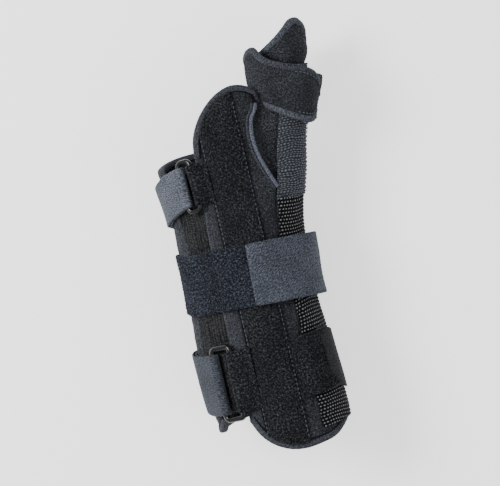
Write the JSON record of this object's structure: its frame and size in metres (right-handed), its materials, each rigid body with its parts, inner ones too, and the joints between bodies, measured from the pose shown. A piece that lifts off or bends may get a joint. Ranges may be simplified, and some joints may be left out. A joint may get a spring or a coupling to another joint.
{
  "type": "wrist and thumb splint",
  "caption": "Left-hand wrist splint with padded panels, a bent palm stay, a thumb gutter with a wrap, oblong strap rings and hook-and-loop straps round the forearm, wrist and hand.",
  "frame": {"origin": "middle of the splint's underside, where it lies with the palm down", "axes": "+Y from the forearm to the fingers, +X to the thumb side of a left hand, +Z out of the back of the hand"},
  "size_m": [0.1164, 0.2592, 0.0765],
  "materials": {
    "panel_fabric": "matt brushed knit on foam",
    "black_pile": "looped pile",
    "navy_pile": "looped pile",
    "strap_knit": "smooth knitted strap",
    "binding_tape": "folded knitted tape",
    "elastic": "ribbed elastic",
    "ribbed_webbing": "ribbed woven webbing",
    "hook_fabric": "moulded hook tape",
    "ring_plastic": "glossy moulded",
    "stay_aluminium": "satin sheet"
  },
  "bodies": {
    "root": {"dorsal_panel": "panel_fabric", "radial_panel": "panel_fabric", "volar_panel": "panel_fabric", "ulnar_panel": "panel_fabric", "elastic_gusset": "elastic", "thumb_panel": "panel_fabric", "thenar_panel": "panel_fabric", "thumb_gutter": "panel_fabric", "dorsal_stay": "stay_aluminium", "dorsal_stay_pocket": "black_pile", "volar_stay": "stay_aluminium", "volar_stay_pocket": "panel_fabric", "thumb_stay": "stay_aluminium", "forearm_webbing": "ribbed_webbing", "thumb_webbing": "ribbed_webbing", "proximal_binding": "binding_tape", "lobe_binding": "binding_tape", "palm_binding": "binding_tape", "ulnar_seam_tape": "binding_tape", "thumb_seam_piping": "binding_tape", "gutter_binding": "binding_tape", "thumb_wrap_back": "black_pile", "wrap_back_low_binding": "binding_tape", "wrap_back_high_binding": "binding_tape", "thumb_hook_tab": "hook_fabric", "wrist_strap": "navy_pile", "hand_ring_tab": "black_pile", "forearm_ring_tab": "black_pile", "hand_strap": "strap_knit", "forearm_strap": "strap_knit", "forearm_strap_anchor": "black_pile"},
    "wrist_end": {"wrist_strap_end": "strap_knit", "wrist_hook_patch": "hook_fabric"},
    "hand_ring": {"hand_ring": "ring_plastic"},
    "hand_end": {"hand_strap_end": "strap_knit", "hand_hook_patch": "hook_fabric"},
    "forearm_ring": {"forearm_ring": "ring_plastic"},
    "forearm_end": {"forearm_strap_end": "strap_knit", "forearm_hook_patch": "hook_fabric"},
    "thumb_end": {"thumb_wrap_end": "black_pile", "wrap_low_binding": "binding_tape", "wrap_high_binding": "binding_tape"}
  },
  "joints": [
    {"name": "wrist_end_peel", "type": "hinge", "parent": "root", "child": "wrist_end", "pos_m": [0.0326, -0.01824, 0.03869], "axis": [0, 1, 0], "range_deg": [0, 110]},
    {"name": "hand_ring_swing", "type": "hinge", "parent": "root", "child": "hand_ring", "pos_m": [-0.03197, 0.04239, 0.06724], "axis": [-0.0349, 0.9994, 0], "range_deg": [0, 35]},
    {"name": "hand_end_peel", "type": "hinge", "parent": "hand_ring", "child": "hand_end", "pos_m": [-0.0392, 0.04214, 0.06259], "axis": [-0.0349, 0.9994, 0], "range_deg": [0, 100]},
    {"name": "forearm_ring_swing", "type": "hinge", "parent": "root", "child": "forearm_ring", "pos_m": [-0.0341, -0.08074, 0.07114], "axis": [0, 1, 0], "range_deg": [0, 35]},
    {"name": "forearm_end_peel", "type": "hinge", "parent": "forearm_ring", "child": "forearm_end", "pos_m": [-0.04484, -0.08074, 0.06279], "axis": [0, 1, 0], "range_deg": [0, 100]},
    {"name": "thumb_end_peel", "type": "hinge", "parent": "root", "child": "thumb_end", "pos_m": [0.03449, 0.09026, 0.06555], "axis": [0.0231, -0.9997, 0], "range_deg": [0, 100]}
  ]
}
